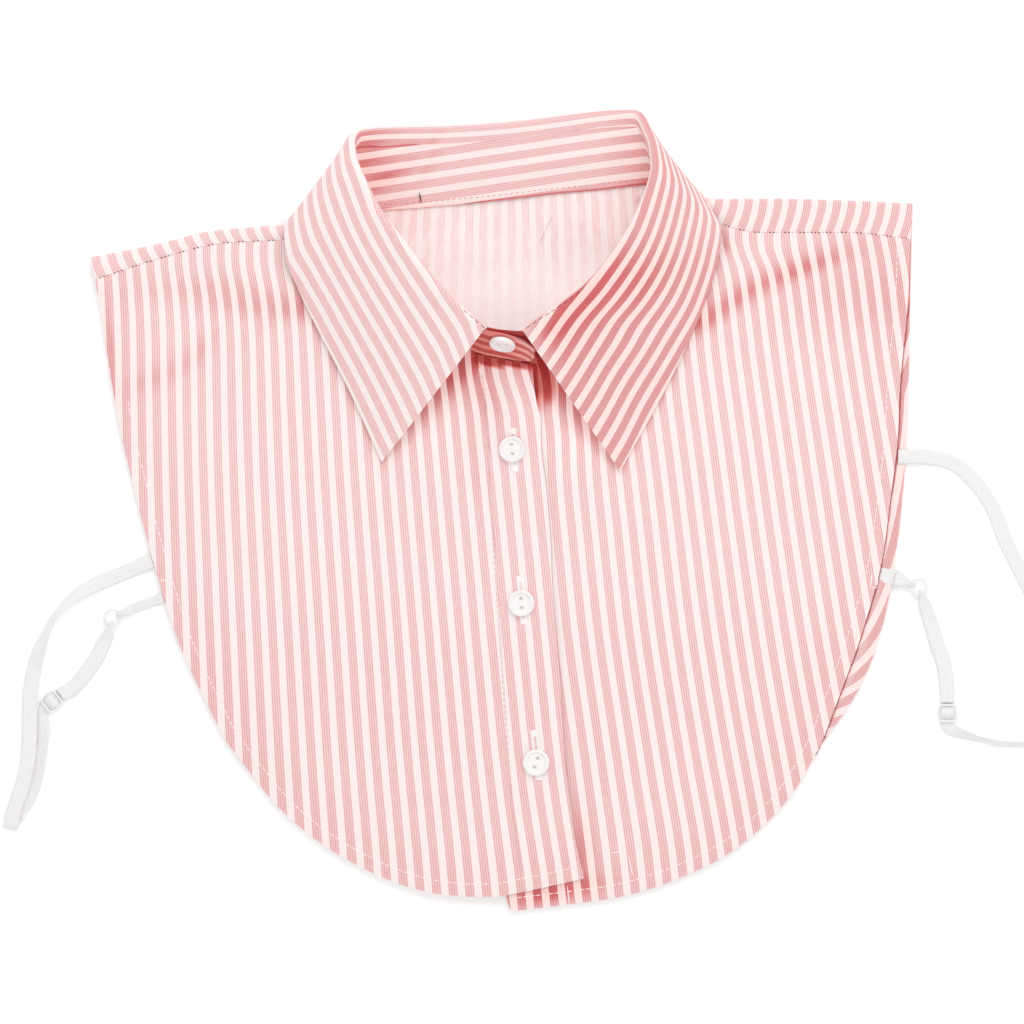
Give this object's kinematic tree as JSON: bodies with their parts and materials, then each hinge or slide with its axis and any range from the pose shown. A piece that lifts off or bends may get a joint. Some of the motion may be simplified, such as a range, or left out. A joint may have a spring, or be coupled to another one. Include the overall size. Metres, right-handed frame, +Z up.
{
  "type": "dickey collar",
  "caption": "Striped cotton false shirt front with a stand collar, buttoned placket and elastic side straps, lying flat on its back.",
  "frame": {"origin": "on the table, under the middle of the dickey as it lies, straps included", "axes": "+Z up off the table, +Y towards the collar, +X towards the strap that swings out wide, the dickey's own left side"},
  "size_m": [0.4759, 0.3583, 0.0344],
  "materials": {
    "striped_cotton": "woven pink and white stripes, matte",
    "white_elastic": "knitted flat elastic, matte",
    "white_plastic": "polished"
  },
  "bodies": {
    "root": {"back_panel": "striped_cotton", "left_front": "striped_cotton", "right_front": "striped_cotton", "left_band": "striped_cotton", "right_band": "striped_cotton", "collar_stand": "striped_cotton", "collar_fall": "striped_cotton", "stand_button": "white_plastic", "button_1": "white_plastic", "button_2": "white_plastic", "button_3": "white_plastic", "left_strap": "white_elastic", "right_strap": "white_elastic", "left_tab": "white_elastic", "right_tab": "white_elastic", "left_ring": "white_plastic", "right_ring": "white_plastic", "left_slider": "white_plastic", "right_slider": "white_plastic"}
  },
  "joints": []
}
